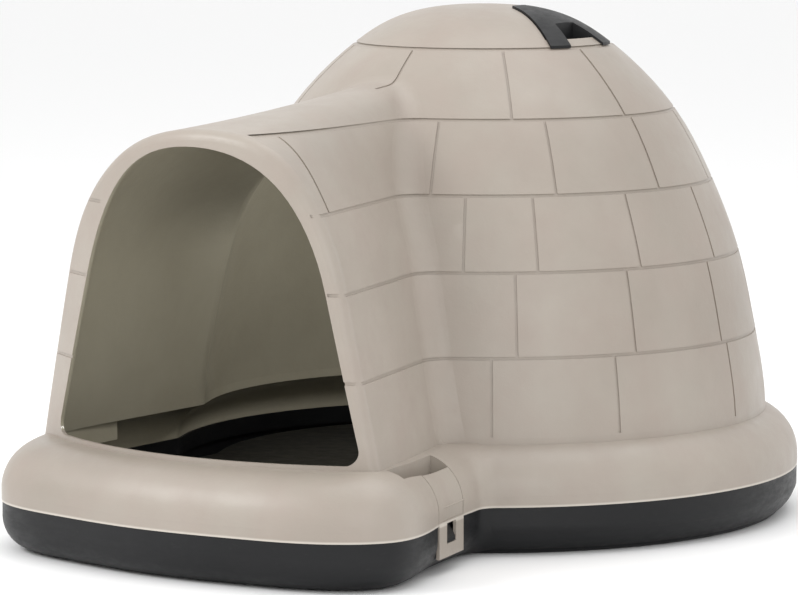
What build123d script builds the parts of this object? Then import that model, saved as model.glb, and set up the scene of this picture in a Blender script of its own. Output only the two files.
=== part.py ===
"""Igloo dog house: a moulded dome shell with an entrance tunnel, on a base tray, held by two snap latches.

Millimetres, +Z up, the doorway faces -Y.  The origin is on the floor under the middle of the footprint.
"""

import math
import os

from build123d import *

# ---- overall sizes -------------------------------------------------------------------------------
LENGTH = 1113.0  # front of the flange to the back of the flange
HEIGHT = 655.0  # floor to crown
FLANGE_R = 411.0  # rolled flange round the dome, radius of its lip
DOME_Y = LENGTH / 2 - FLANGE_R  # axis of the dome

WALL = 5.0  # shell wall
LIP_Z = 61.0  # parting line between shell and base
FLANGE_TOP_Z = 135.0  # top of the rolled flange
FLANGE_ROLL_R = 60.0  # its rolled edge
NOTCH_R = 26.0  # inside corner where the tunnel flange meets the dome flange

# ---- dome: radius at the foot of each brick course, then the crown ------------------------------
COURSE_Z = (140.0, 237.0, 340.0, 432.0, 522.0, 605.0)
COURSE_R = (369.0, 355.0, 332.0, 297.0, 248.0, 167.0)
GROOVE_W = 4.0
GROOVE_D = 1.6
JOINT_W = 3.5
JOINT_FOOT_Z = 142.0  # the lowest joints stop above the flange
COURSE_JOINTS = (
    (37.4, 63.0, 96.0, 126.0, 154.0, 180.0),
    (42.5, 68.0, 94.0, 120.0, 146.0, 172.0),
    (31.5, 47.5, 72.0, 98.0, 124.0, 150.0, 180.0),
    (23.0, 53.5, 84.0, 114.0, 144.0, 172.0),
    (4.0, 44.0, 82.0, 126.0, 168.0),
)  # degrees round from the doorway, mirrored

# ---- entrance tunnel ------------------------------------------------------------------------------
TUNNEL_FRONT_Y = DOME_Y - 660.0  # plane of the front section
TUNNEL_REAR_Y = DOME_Y - 200.0  # plane of the rear section, inside the dome
FACE_R = 476.0  # bow of the door face in plan, at the sill
FACE_LEAN = math.degrees(math.atan(0.10))  # the face leans back
SILL_Z = 140.0
FACE_Y = DOME_Y - 634.0  # middle of the door face at the sill

# half width at the sill and at the spring, spring height, top height, fullness of the shoulder
FRONT_SECTION = (283.0, 234.0, 345.0, 523.0, 0.85)
REAR_SECTION = (133.0, 88.0, 345.0, 566.0, 0.60)
REAR_LEFT = (300.0, 255.0, 345.0, 566.0, 0.60)  # the left wall runs on almost straight into the dome
OPENING = (236.0, 184.0, 343.0, 508.0, 0.82)
OPENING_CORNER_R = 16.0
RIM_R = 14.0  # rounded rim of the doorway
CREASE_R = 35.0  # where the tunnel runs into the dome
TUNNEL_JOINTS = ((DOME_Y - 536.0, 3),)  # across the tunnel, and their course

# ---- lip of the tunnel flange in plan, from the dome axis: points and the direction at the end ----
LIP_FRONT = ((0.0, -702.0), (150.0, -686.0), (257.0, -651.0), (306.0, -587.0))
LIP_SIDES = {
    1: ((*LIP_FRONT, (284.0, -492.0), (236.0, -312.0), (190.0, -140.0)), (-0.26, 1.0)),
    -1: ((*LIP_FRONT, (336.0, -492.0), (352.0, -312.0), (362.0, -140.0)), (0.06, 1.0)),
}

# ---- base tray --------------------------------------------------------------------------------------
BASE_GAP = 1.0  # the base sits in from the shell lip
TRAY_WALL = 4.0
TRAY_ROUND = 42.0  # the tray curves in under the tunnel
BAND_Z = 20.0  # underside of the band round the dome
BAND_ROUND = 18.0
BAND_PROUD = 0.5  # the band stands out from the rest of the tray by this much
FOOT_IN = 20.0  # foot wall under the band
FOOT_ROUND = 11.0
FLOOR_Z = 62.0
FLOOR_IN = 62.0
RIM_IN = 8.0  # upstand that locates the shell
RIM_TOP_Z = 80.0

# ---- snap latches -----------------------------------------------------------------------------------
# middle of each latch on the lip outline, and the direction of the flange side there from +X
LATCH_MID = {1: (268.2, DOME_Y - 436.0), -1: (-343.9, DOME_Y - 436.0)}
LATCH_TURN = {1: 105.0, -1: 96.1}
TONGUE_W = 84.0
TONGUE_IN = 23.0
TAB_W = 80.0
TAB_T = 4.0
TAB_BOTTOM_Z = 20.0
SLIT = 1.5
POCKET_ALONG = (-99.0, TONGUE_W / 2 + SLIT)  # finger pocket above the tongue, along the flange side
POCKET_IN = (TONGUE_IN - 0.5, 45.0)  # in from the lip
POCKET_FLOOR_Z = 108.0
POCKET_WALL = 4.0
WINDOW_W = 30.0
WINDOW_Z = (36.0, 61.0)
PIVOT_Z = 80.0
PIVOT_IN = WALL / 2 + 0.5 + FLANGE_ROLL_R - math.sqrt(FLANGE_ROLL_R**2 - (PIVOT_Z - FLANGE_TOP_Z + FLANGE_ROLL_R) ** 2)
PIVOT_D = 2.4
PIVOT_L = 4.0
CATCH_Z = (37.0, 55.0)

# ---- crown vent ---------------------------------------------------------------------------------------
VENT_X = (56.0, 167.0)  # narrow end and wide end, out from the dome axis
VENT_HALF = (14.0, 74.0)
VENT_PROUD = 3.0  # the hood stands above the dome
VENT_SEAT = 0.2
VENT_GAP = 1.0
VENT_HOLE_X = 152.0  # the hole in the dome stops short of the wide end
NOTCH_X = 127.0
NOTCH_HALF = (20.0, 38.0)
VENT_SKIRT = 16.0
VENT_GRIP = 8.0


def normals(points):
    """Unit normals pointing out of a profile that runs up and inward."""
    out = []
    for i in range(len(points)):
        a = points[max(i - 1, 0)]
        b = points[min(i + 1, len(points) - 1)]
        run = b[0] - a[0]
        rise = b[1] - a[1]
        size = math.hypot(run, rise)
        out.append((rise / size, -run / size))
    out[-1] = (0.0, 1.0)
    return out


def dome(inset, bottom):
    """Solid of revolution inside the dome surface, taken down to a flat bottom."""
    stations = list(zip(COURSE_R, COURSE_Z)) + [(0.0, HEIGHT)]
    moved = [(r - n[0] * inset, z - n[1] * inset) for (r, z), n in zip(stations, normals(stations))]
    with BuildPart() as solid:
        with BuildSketch(Plane.XZ):
            with BuildLine():
                Spline(*moved, tangents=((-0.05, 1.0), (-1.0, 0.0)))
                Line(moved[-1], (0.0, bottom))
                Line((0.0, bottom), (moved[0][0], bottom))
                Line((moved[0][0], bottom), moved[0])
            make_face()
        revolve(axis=Axis.Z)
    return solid.part.moved(Location((0.0, DOME_Y, 0.0)))


def arch_side(section, inset, bottom):
    """Half an arch, to the right: foot, spring, shoulder and crown points, and the lean of the leg."""
    sill, spring, spring_z, top, fullness = section
    lean = (sill - spring) / (spring_z - SILL_Z)
    foot = (sill + lean * (SILL_Z - bottom) - inset, bottom)
    half = spring - inset
    shoulder = (fullness * half, spring_z + 0.5 * (top - inset - spring_z))
    return foot, (half, spring_z), shoulder, (0.0, top - inset), lean


def arch(right, left, inset, y, bottom):
    """Arch face across the tunnel: two leaning legs and a domed top."""
    with BuildSketch(Plane((0.0, y, 0.0), x_dir=(1, 0, 0), z_dir=(0, -1, 0))) as face:
        with BuildLine():
            feet = []
            for side, section in ((1, right), (-1, left)):
                *points, lean = arch_side(section, inset, bottom)
                foot, spring, shoulder, crown = [(side * x, z) for x, z in points]
                Line(foot, spring)
                Spline(spring, shoulder, crown, tangents=((-side * lean, 1.0), (-side, 0.0)))
                feet.append(foot)
            Line(*feet)
        make_face()
    return face.sketch


def tunnel(inset, bottom):
    """Tapering tunnel block between the dome and the bowed, leaning door face."""
    front = arch(FRONT_SECTION, FRONT_SECTION, inset, TUNNEL_FRONT_Y, bottom)
    rear = arch(REAR_SECTION, REAR_LEFT, inset, TUNNEL_REAR_Y, bottom)
    block = loft([front, rear], ruled=True)
    low_r = FACE_R - inset + math.tan(math.radians(FACE_LEAN)) * SILL_Z
    high_r = low_r - math.tan(math.radians(FACE_LEAN)) * 700.0
    bound = Cone(low_r, high_r, 700.0, align=(Align.CENTER, Align.CENTER, Align.MIN))
    return block & bound.moved(Location((0.0, FACE_Y + FACE_R, 0.0)))


def skin(inset, bottom):
    """Dome and tunnel in one, run together by a soft crease."""
    body = dome(inset, bottom) + tunnel(inset, bottom)
    curved = body.edges().filter_by(GeomType.BSPLINE)
    creases = curved.filter_by(lambda e: DOME_Y - 345.0 < (e @ 0.5).Y < TUNNEL_REAR_Y)
    return body.fillet(CREASE_R, creases)


def soft_rim(body):
    """The body with the outer edge of its door face rounded."""
    curved = body.edges().filter_by(GeomType.BSPLINE)
    rim = curved.filter_by(lambda e: (e @ 0.5).Y < DOME_Y - 500.0 and (e @ 0.5).Z > LIP_Z + 1.0)
    return body.fillet(RIM_R, rim)


def lip_side(side, inset):
    """Points along one side of the tunnel flange's lip, from the front to inside the dome flange."""
    points, end = LIP_SIDES[side]
    with BuildLine(mode=Mode.PRIVATE):
        lip = Spline(*points, tangents=((1.0, 0.0), end))
    moved = []
    for i in range(13):
        at = lip @ (i / 12)
        along = lip % (i / 12)
        moved.append((side * (at.X - inset * along.Y), at.Y + inset * along.X))
    moved[0] = (0.0, moved[0][1])
    return moved, (side * end[0], end[1])


def outline(inset):
    """Plan of the flange lip: the round dome flange run into the tunnel flange."""
    right, right_end = lip_side(1, inset)
    left, left_end = lip_side(-1, inset)
    with BuildSketch(mode=Mode.PRIVATE) as plan:
        with BuildLine():
            Spline(*right, tangents=((1.0, 0.0), right_end))
            Line(right[-1], left[-1])
            Spline(*left, tangents=((-1.0, 0.0), left_end))
        make_face()
        Circle(FLANGE_R - inset)
        corners = plan.vertices().filter_by(lambda v: v.Y < -170.0 and abs(v.X) > 100.0)
        fillet(corners, NOTCH_R + inset)
    return plan.sketch.moved(Location((0.0, DOME_Y, 0.0)))


def slab(inset, low, high):
    """Block over the flange outline between two heights."""
    return extrude(outline(inset).moved(Location((0, 0, low))), amount=high - low)


def disc(inset, low, high):
    """Round block under the dome flange."""
    block = Cylinder(FLANGE_R - inset, high - low, align=(Align.CENTER, Align.CENTER, Align.MIN))
    return block.moved(Location((0.0, DOME_Y, low)))


def round_foot(block, radius):
    """The block with its bottom edges rounded."""
    return block.fillet(radius, block.edges().group_by(Axis.Z)[0])


def tray(inset, low):
    """Body of the tray: curved in under the tunnel, a band and a foot round the dome."""
    body = round_foot(slab(BASE_GAP + inset, low, LIP_Z), TRAY_ROUND - inset)
    body += round_foot(disc(BASE_GAP - BAND_PROUD + inset, BAND_Z + low, LIP_Z), BAND_ROUND - inset)
    return body + round_foot(disc(FOOT_IN + inset, low, BAND_Z + low + 1.0), FOOT_ROUND - inset)


def flange(inset):
    """Rolled flange block, rounded along its top edge."""
    block = slab(inset, LIP_Z - (0.01 if inset else 0.0), FLANGE_TOP_Z - inset)
    edges = block.edges().filter_by(lambda e: abs(e.center().Z - (FLANGE_TOP_Z - inset)) < 0.1)
    return block.fillet(FLANGE_ROLL_R - inset, edges)


def side_frame(side):
    """Frame at a latch: +X along the flange side, +Y inward on the right-hand latch."""
    x, y = LATCH_MID[side]
    return Location((x, y, 0.0), (0.0, 0.0, LATCH_TURN[side]))


def latch_box(side, along, near, far, low, high):
    """Box at a latch, between two places along the flange side and two distances in from the lip."""
    back, front = along if isinstance(along, tuple) else (-along / 2, along / 2)
    sign = 1 if side > 0 else -1
    block = Box(front - back, far - near, high - low)
    middle = ((back + front) / 2, sign * (near + far) / 2, (low + high) / 2)
    return block.moved(side_frame(side) * Location(middle))


def latch_prism(side, width, profile):
    """Prism along the flange side, its profile given as (distance in from the lip, height)."""
    sign = 1 if side > 0 else -1
    points = [(sign * depth, height) for depth, height in profile]
    upright = Plane((-width / 2, 0.0, 0.0), x_dir=(0, 1, 0), z_dir=(1, 0, 0))
    face = upright * make_face(Polyline(*points, close=True).edges())
    return extrude(face, amount=width).moved(side_frame(side))


def pivot(side, diameter, reach):
    """Torsion webs of a latch, on the line it rocks about."""
    depth = PIVOT_IN * (1 if side > 0 else -1)
    turn = Location((0.0, depth, PIVOT_Z), (0.0, 90.0, 0.0))
    return Cylinder(diameter / 2, TONGUE_W + 2 * reach).moved(side_frame(side) * turn)


def vent_plan(far, grow):
    """Plan of the crown vent: a wedge facing +X, cut off by a round end."""
    near = VENT_X[0]
    slope = (VENT_HALF[1] - VENT_HALF[0]) / (VENT_X[1] - near)
    tip = (near, VENT_HALF[0])
    wide = (far + 20.0, VENT_HALF[0] + slope * (far + 20.0 - near))
    with BuildSketch() as plan:
        with BuildLine():
            Polyline(tip, wide, (wide[0], -wide[1]), (tip[0], -tip[1]), close=True)
        make_face()
        Circle(far, mode=Mode.INTERSECT)
        if grow:
            offset(amount=grow, kind=Kind.INTERSECTION)
    return plan.sketch


def notch_plan(grow):
    """Plan of the air notch in the vent."""
    slope = (NOTCH_HALF[1] - NOTCH_HALF[0]) / (VENT_X[1] - NOTCH_X)
    far = VENT_X[1] + 25.0
    half = NOTCH_HALF[0] + slope * (far - NOTCH_X)
    with BuildSketch() as plan:
        with BuildLine():
            Polyline((NOTCH_X, NOTCH_HALF[0]), (far, half), (far, -half), (NOTCH_X, -NOTCH_HALF[0]), close=True)
        make_face()
        if grow:
            offset(amount=grow, kind=Kind.INTERSECTION)
    return plan.sketch


def crown_prism(plan):
    """Column over a plan on the crown."""
    return extrude(plan.moved(Location((0.0, DOME_Y, 540.0))), amount=140.0)


def grooves(core):
    """Cutters for the mortar lines between the bricks: what lies outside the core of the shell."""
    front = FACE_Y + 60.0
    reach = DOME_Y + 400.0 - front
    lines = []
    for z in COURSE_Z[1:]:
        ring = Box(900.0, reach, GROOVE_W, align=(Align.CENTER, Align.MIN, Align.CENTER))
        lines.append(ring.moved(Location((0.0, front, z))) - core)
    for course, joints in enumerate(COURSE_JOINTS):
        low = COURSE_Z[course]
        low = max(low, JOINT_FOOT_Z)
        rise = COURSE_Z[course + 1] - low
        inner = COURSE_R[course + 1] - 12.0
        for angle in list(joints) + [-a for a in joints if 5.0 < a < 180.0]:
            fin = Box(JOINT_W, COURSE_R[course] + 8.0 - inner, rise, align=(Align.CENTER, Align.MAX, Align.MIN))
            around = Location((0.0, DOME_Y, low), (0.0, 0.0, angle))
            lines.append(fin.moved(around * Location((0.0, -inner, 0.0))) - core)
    for y, course in TUNNEL_JOINTS:
        rise = COURSE_Z[course + 1] - COURSE_Z[course]
        band = Box(600.0, JOINT_W, rise, align=(Align.CENTER, Align.CENTER, Align.MIN))
        lines.append(band.moved(Location((0.0, y, COURSE_Z[course]))) - core)
    return lines


os.makedirs("parts", exist_ok=True)

skin_outer = soft_rim(skin(0.0, LIP_Z))
skin_inner = skin(WALL, LIP_Z - 1.0)
flange_outer = flange(0.0)
flange_inner = flange(WALL)

# ---- shell: dome, tunnel and rolled flange in one moulding ---------------------------------------
bricks = skin_outer.cut(*grooves(skin(GROOVE_D, LIP_Z - 1.0)))
doorway = extrude(arch(OPENING, OPENING, 0.0, FACE_Y - 60.0, SILL_Z).faces()[0], amount=-135.0)
doorway = doorway.fillet(OPENING_CORNER_R, doorway.edges().filter_by(Axis.Y).group_by(Axis.Z)[0])
vent_hole = crown_prism(vent_plan(VENT_HOLE_X, VENT_GAP))

# a finger pocket at the foot of the tunnel wall, and the slot the latch rocks in
near, far = POCKET_IN
start, end = POCKET_ALONG
tub_along = (start - POCKET_WALL, end + POCKET_WALL)
tub_low = POCKET_FLOOR_Z - POCKET_WALL
tubs = [latch_box(s, tub_along, near - POCKET_WALL, far + POCKET_WALL, tub_low, FLANGE_TOP_Z) for s in (1, -1)]
tubs = [tub & flange_outer for tub in tubs]
pockets = [latch_box(s, POCKET_ALONG, near, far, POCKET_FLOOR_Z, 150.0) for s in (1, -1)]
SLOT_W = TONGUE_W + 2 * SLIT
slots = [latch_box(s, SLOT_W, -6.0, TONGUE_IN, LIP_Z - 2.0, 150.0) for s in (1, -1)]
sockets = [pivot(s, PIVOT_D + 0.4, PIVOT_L + 0.5) for s in (1, -1)]

with BuildPart() as shell:
    add(bricks + flange_outer)
    add(skin_inner + flange_inner, mode=Mode.SUBTRACT)
    add(doorway, mode=Mode.SUBTRACT)
    add(tubs)
    add(pockets + slots, mode=Mode.SUBTRACT)
    add(sockets, mode=Mode.SUBTRACT)
    add(vent_hole, mode=Mode.SUBTRACT)
shell.part.label = "shell"
export_step(shell.part, "parts/shell.step")

# ---- latches: rocking tongue in the flange roll with a windowed tab below it ---------------------
flange_skin = flange_outer - flange_inner
for side, name in ((1, "latch_right"), (-1, "latch_left")):
    strip = flange_skin & latch_box(side, TONGUE_W, -6.0, TONGUE_IN - 1.0, LIP_Z, 150.0)
    tab = latch_box(side, TAB_W, 0.5, 0.5 + TAB_T, TAB_BOTTOM_Z, LIP_Z + 3.0)
    window = latch_box(side, WINDOW_W, -9.0, 9.0, *WINDOW_Z)
    webs = pivot(side, PIVOT_D, PIVOT_L)
    with BuildPart() as latch:
        add(strip)
        add(tab)
        add(window, mode=Mode.SUBTRACT)
        add(webs)
    latch.part.label = name
    export_step(latch.part, f"parts/{name}.step")

# ---- crown vent: wedge hood let into the dome, with an air notch ----------------------------------
under = dome(WALL + 3.4, LIP_Z - 1.0)
vent_plug = crown_prism(vent_plan(VENT_HOLE_X - VENT_GAP, 0.0))
hood = (dome(-VENT_PROUD, LIP_Z) - dome(-VENT_SEAT, LIP_Z - 1.0)) & crown_prism(vent_plan(VENT_X[1], 0.0))
plug = (dome(-1.0, LIP_Z) - under) & vent_plug
grip = (dome(WALL + 0.4, LIP_Z) - under) & crown_prism(vent_plan(VENT_HOLE_X, VENT_GRIP))
skirt = (dome(WALL, LIP_Z) - dome(VENT_SKIRT, LIP_Z - 1.0)) & (crown_prism(notch_plan(3.0)) & vent_plug)
air_notch = crown_prism(notch_plan(0.0))

with BuildPart() as crown_vent:
    add(hood)
    add(plug)
    add(grip)
    add(skirt)
    add(air_notch, mode=Mode.SUBTRACT)
crown_vent.part.label = "crown_vent"
export_step(crown_vent.part, "parts/crown_vent.step")

# ---- base tray: curved outer wall, gutter, raised floor ------------------------------------------
tray_outer = tray(0.0, 0.0)
tray_inner = tray(TRAY_WALL, TRAY_WALL)
floor = slab(FLOOR_IN, 0.0, FLOOR_Z)
under_floor = slab(FLOOR_IN + TRAY_WALL, -1.0, FLOOR_Z - TRAY_WALL)
# ledge the shell rests on, and the upstand that locates it
ledge = slab(BASE_GAP + 2.0, LIP_Z - 4.0, LIP_Z) - slab(RIM_IN + 3.0, LIP_Z - 5.0, LIP_Z + 1.0)
upstand = slab(RIM_IN, LIP_Z - 4.0, RIM_TOP_Z) - slab(RIM_IN + 3.0, LIP_Z - 5.0, RIM_TOP_Z + 1.0)
backs = [latch_box(s, TAB_W + 16.0, 6.0, 14.0, 0.0, LIP_Z) & tray_outer for s in (1, -1)]
recesses = [latch_box(s, TAB_W + 8.0, -9.0, 8.0, -1.0, LIP_Z + 1.0) for s in (1, -1)]
low, high = CATCH_Z
hook = ((9.0, low), (1.0, low), (1.0, low + 5.0), (8.0, high), (9.0, high))
catches = [latch_prism(s, WINDOW_W - 4.0, hook) for s in (1, -1)]

with BuildPart() as base:
    add(tray_outer)
    add(tray_inner, mode=Mode.SUBTRACT)
    add(floor)
    add(under_floor, mode=Mode.SUBTRACT)
    add(ledge)
    add(upstand)
    add(backs)
    add(recesses, mode=Mode.SUBTRACT)
    add(catches)
base.part.label = "base_tray"
export_step(base.part, "parts/base_tray.step")
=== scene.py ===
import math

import bpy
from mathutils import Matrix, Vector


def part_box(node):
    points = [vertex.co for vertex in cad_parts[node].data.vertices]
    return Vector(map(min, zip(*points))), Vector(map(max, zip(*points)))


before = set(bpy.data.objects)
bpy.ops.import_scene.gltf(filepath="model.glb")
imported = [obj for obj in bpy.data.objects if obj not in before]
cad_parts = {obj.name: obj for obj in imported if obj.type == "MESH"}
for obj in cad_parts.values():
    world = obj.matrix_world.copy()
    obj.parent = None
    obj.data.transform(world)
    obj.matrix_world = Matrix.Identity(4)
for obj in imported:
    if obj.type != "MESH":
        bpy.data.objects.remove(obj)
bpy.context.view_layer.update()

FLANGE_R = 0.411  # round flange of the dome, radius of its lip
shell_low, shell_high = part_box("shell")
LIP_Z = shell_low[2]  # parting line between shell and base
DOME_Y = shell_high[1] - FLANGE_R  # axis of the dome
FOOT_Z = LIP_Z + 0.02  # foot of that axis, which the inside faces look towards
TUNNEL_REACH = 0.12  # in front of the axis by more than this, faces are judged across the tunnel only
INSIDE_EDGE = (-0.115, -0.10)  # how far a face looks back towards the axis where it counts as inside
LIP_HIGHLIGHT = 0.0016  # half height of the painted highlight along the lip


# ---- materials ------------------------------------------------------------------------------------
class Nodes:
    """A new material and short ways to add and link its nodes."""

    def __init__(self, name):
        self.material = bpy.data.materials.new(name)
        self.material.use_nodes = True
        self.tree = self.material.node_tree
        self.shader = self.tree.nodes["Principled BSDF"]
        self.where = self.add("ShaderNodeTexCoord").outputs["Object"]

    def add(self, kind, **values):
        node = self.tree.nodes.new(kind)
        for name, value in values.items():
            setattr(node, name, value)
        return node

    def link(self, a, b):
        self.tree.links.new(a, b)

    def noise(self, scale, detail=4.0, roughness=0.55, stretch=(1, 1, 1)):
        mapping = self.add("ShaderNodeMapping")
        mapping.inputs["Scale"].default_value = stretch
        noise = self.add("ShaderNodeTexNoise")
        noise.inputs["Scale"].default_value = scale
        noise.inputs["Detail"].default_value = detail
        noise.inputs["Roughness"].default_value = roughness
        self.link(self.where, mapping.inputs["Vector"])
        self.link(mapping.outputs["Vector"], noise.inputs["Vector"])
        return noise.outputs["Fac"]

    def ramp(self, value, stops):
        ramp = self.add("ShaderNodeValToRGB")
        points = ramp.color_ramp.elements
        while len(points) < len(stops):
            points.new(0.5)
        for point, (at, colour) in zip(points, stops):
            point.position = at
            point.color = (*colour, 1.0)
        self.link(value, ramp.inputs["Fac"])
        return ramp.outputs["Color"]

    def spread(self, value, low, high, to_low, to_high):
        span = self.add("ShaderNodeMapRange")
        for name, number in (("From Min", low), ("From Max", high), ("To Min", to_low), ("To Max", to_high)):
            span.inputs[name].default_value = number
        self.link(value, span.inputs["Value"])
        return span.outputs["Result"]

    def mix(self, fac, a, b, blend="MIX"):
        mix = self.add("ShaderNodeMix", data_type="RGBA", blend_type=blend)
        for socket, source in ((0, fac), (6, a), (7, b)):
            if isinstance(source, tuple):
                mix.inputs[socket].default_value = (*source, 1.0)
            elif isinstance(source, float):
                mix.inputs[socket].default_value = source
            else:
                self.link(source, mix.inputs[socket])
        return mix.outputs[2]

    def place(self):
        """The X, Y and Z of a point on the object."""
        split = self.add("ShaderNodeSeparateXYZ")
        self.link(self.where, split.inputs[0])
        return split.outputs

    def maths(self, operation, value, number=0.0):
        """A value worked on with a number."""
        node = self.add("ShaderNodeMath", operation=operation)
        self.link(value, node.inputs[0])
        node.inputs[1].default_value = number
        return node.outputs[0]

    def inside(self):
        """1 on the inside faces of the shell, 0 on its outside, by which way a face looks from the axis."""
        x, y, z = self.place()
        along = self.maths("MAXIMUM", self.maths("SUBTRACT", y, DOME_Y), -TUNNEL_REACH)
        height = self.maths("SUBTRACT", z, FOOT_Z)
        outward = self.add("ShaderNodeCombineXYZ")
        for socket, source in zip(outward.inputs, (x, along, height)):
            self.link(source, socket)
        facing = self.add("ShaderNodeVectorMath", operation="DOT_PRODUCT")
        self.link(outward.outputs[0], facing.inputs[0])
        self.link(self.add("ShaderNodeNewGeometry").outputs["True Normal"], facing.inputs[1])
        return self.spread(facing.outputs["Value"], *INSIDE_EDGE, 1.0, 0.0)

    def band(self, height, reach):
        """1 close to a height, fading to 0 at twice the reach from it."""
        away = self.maths("SUBTRACT", self.place()["Z"], height)
        return self.spread(self.maths("ABSOLUTE", away), reach, 2 * reach, 1.0, 0.0)

    def bump(self, layers):
        """Layers of relief, each a height, a distance and a strength, laid one over another."""
        normal = None
        for height, distance, strength in layers:
            bump = self.add("ShaderNodeBump")
            bump.inputs["Distance"].default_value = distance
            bump.inputs["Strength"].default_value = strength
            self.link(height, bump.inputs["Height"])
            if normal is not None:
                self.link(normal, bump.inputs["Normal"])
            normal = bump.outputs["Normal"]
        self.link(normal, self.shader.inputs["Normal"])


def moulded_shell():
    """Warm taupe moulded plastic: mottling, flow streaks, fine grain, a painted highlight along the lip, a
    glossier inside with a lighter colour painted on as painted light.
    """
    n = Nodes("shell_plastic")
    cloud = n.noise(3.2, 5.0, 0.6)
    patch = n.noise(14.0, 4.0, 0.6)
    flow = n.noise(9.0, 3.0, 0.5, (1.0, 1.0, 0.25))
    base = n.ramp(cloud, ((0.30, (0.300, 0.262, 0.222)), (0.70, (0.375, 0.333, 0.288))))
    base = n.mix(n.spread(patch, 0.35, 0.7, 0.0, 0.45), base, (0.335, 0.275, 0.238))
    base = n.mix(n.spread(flow, 0.5, 0.75, 0.0, 0.30), base, (0.400, 0.368, 0.322))
    # painted highlight: a pale band along the lip, standing in for light catching its edge
    base = n.mix(n.band(LIP_Z, LIP_HIGHLIGHT), base, (0.52, 0.475, 0.42))
    # painted light: the inside faces get a lighter, greener colour standing in for the light inside the
    # shell; the same mask also makes them glossier
    inside = n.inside()
    base = n.mix(inside, base, n.ramp(cloud, ((0.3, (0.40, 0.365, 0.275)), (0.7, (0.49, 0.455, 0.355)))))
    n.link(base, n.shader.inputs["Base Color"])
    gloss = n.add("ShaderNodeMix")
    n.link(inside, gloss.inputs[0])
    n.link(n.spread(patch, 0.3, 0.7, 0.36, 0.52), gloss.inputs[2])
    gloss.inputs[3].default_value = 0.20
    n.link(gloss.outputs[0], n.shader.inputs["Roughness"])
    n.shader.inputs["Specular IOR Level"].default_value = 0.42
    n.shader.inputs["Coat Weight"].default_value = 0.10
    n.shader.inputs["Coat Roughness"].default_value = 0.35
    n.bump(((n.noise(420.0, 3.0, 0.65), 0.0005, 0.22), (n.noise(38.0, 4.0, 0.6), 0.004, 0.16)))
    return n.material


def black_plastic(name, dust):
    """Near-black moulded plastic with a cool tint, fine grain, faint scuffs and dust."""
    n = Nodes(name)
    cloud = n.noise(6.0, 4.0, 0.6)
    scuff = n.noise(45.0, 6.0, 0.72, (1.0, 1.0, 3.0))
    base = n.ramp(cloud, ((0.3, (0.0040, 0.0043, 0.0050)), (0.75, (0.0085, 0.0088, 0.0098))))
    base = n.mix(n.spread(scuff, 0.58, 0.80, 0.0, dust), base, (0.07, 0.07, 0.07))
    n.link(base, n.shader.inputs["Base Color"])
    n.link(n.spread(scuff, 0.35, 0.7, 0.38, 0.56), n.shader.inputs["Roughness"])
    n.shader.inputs["Specular IOR Level"].default_value = 0.30
    n.bump(((n.noise(700.0, 2.0, 0.6), 0.0005, 0.14), (n.noise(30.0, 2.0, 0.5), 0.003, 0.08)))
    return n.material


SHELL = moulded_shell()
BASE = black_plastic("base_plastic", 0.22)
VENT = black_plastic("vent_plastic", 0.10)

for node, material in (
    ("shell", SHELL),
    ("latch_right", SHELL),
    ("latch_left", SHELL),
    ("crown_vent", VENT),
    ("base_tray", BASE),
):
    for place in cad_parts[node].material_slots:
        place.material = material


# ---- floor, light and camera ----------------------------------------------------------------------
FLOOR_HALF = 14.0
LENS = 201.1  # a long lens on a 36 mm sensor
SHIFT = (-0.0054, 0.0013)
EYE = (3.3686, -4.5527, 0.9367)
YAW = math.radians(36.667)  # turned left of straight at the doorway
PITCH = math.radians(6.573)  # looking down


def floor():
    """Plain pale floor."""
    mesh = bpy.data.meshes.new("floor")
    corners = [(FLOOR_HALF * x, FLOOR_HALF * y, 0) for x, y in ((-1, -1), (1, -1), (1, 1), (-1, 1))]
    mesh.from_pydata(corners, [], [(0, 1, 2, 3)])
    piece = bpy.data.objects.new("floor", mesh)
    bpy.context.collection.objects.link(piece)
    n = Nodes("floor")
    n.shader.inputs["Base Color"].default_value = (0.93, 0.93, 0.93, 1)
    n.shader.inputs["Roughness"].default_value = 0.6
    n.shader.inputs["Specular IOR Level"].default_value = 0.2
    mesh.materials.append(n.material)


def area_light(name, where, target, size, power):
    """White panel of light at a place, turned to a target."""
    data = bpy.data.lights.new(name, "AREA")
    data.shape = "RECTANGLE"
    data.size, data.size_y = size
    data.energy = power
    light = bpy.data.objects.new(name, data)
    light.location = where
    light.rotation_euler = (Vector(target) - Vector(where)).to_track_quat("-Z", "Y").to_euler()
    bpy.context.collection.objects.link(light)


def camera():
    """Camera in front of the house, off to the right and a little above it."""
    data = bpy.data.cameras.new("camera")
    data.sensor_width = 36.0
    data.lens = LENS
    data.shift_x, data.shift_y = SHIFT
    data.clip_end = 60.0
    eye = bpy.data.objects.new("camera", data)
    level = math.cos(PITCH)
    right = Vector((math.cos(YAW), math.sin(YAW), 0.0))
    forward = Vector((-math.sin(YAW) * level, math.cos(YAW) * level, -math.sin(PITCH)))
    up = right.cross(forward)
    turn = Matrix((right, up, -forward)).transposed().to_4x4()
    eye.matrix_world = Matrix.Translation(EYE) @ turn
    bpy.context.collection.objects.link(eye)
    bpy.context.scene.camera = eye


floor()
area_light("key", (-2.2, -3.2, 3.2), (0, 0, 0.3), (2.2, 1.8), 95)
area_light("fill", (3.6, -3.0, 1.6), (0, -0.2, 0.3), (1.6, 2.2), 26)
area_light("top", (0.6, 0.6, 3.8), (0, 0, 0.3), (3.0, 3.0), 45)
area_light("cabin", (0.05, 0.12, 0.50), (-0.1, 0.1, 0.0), (0.12, 0.12), 1.0)
camera()

world = bpy.data.worlds.new("world")
world.use_nodes = True
sky = world.node_tree.nodes["Background"].inputs
sky["Color"].default_value = (1, 1, 1, 1)
sky["Strength"].default_value = 1.0
bpy.context.scene.world = world
bpy.context.scene.view_settings.view_transform = "Standard"
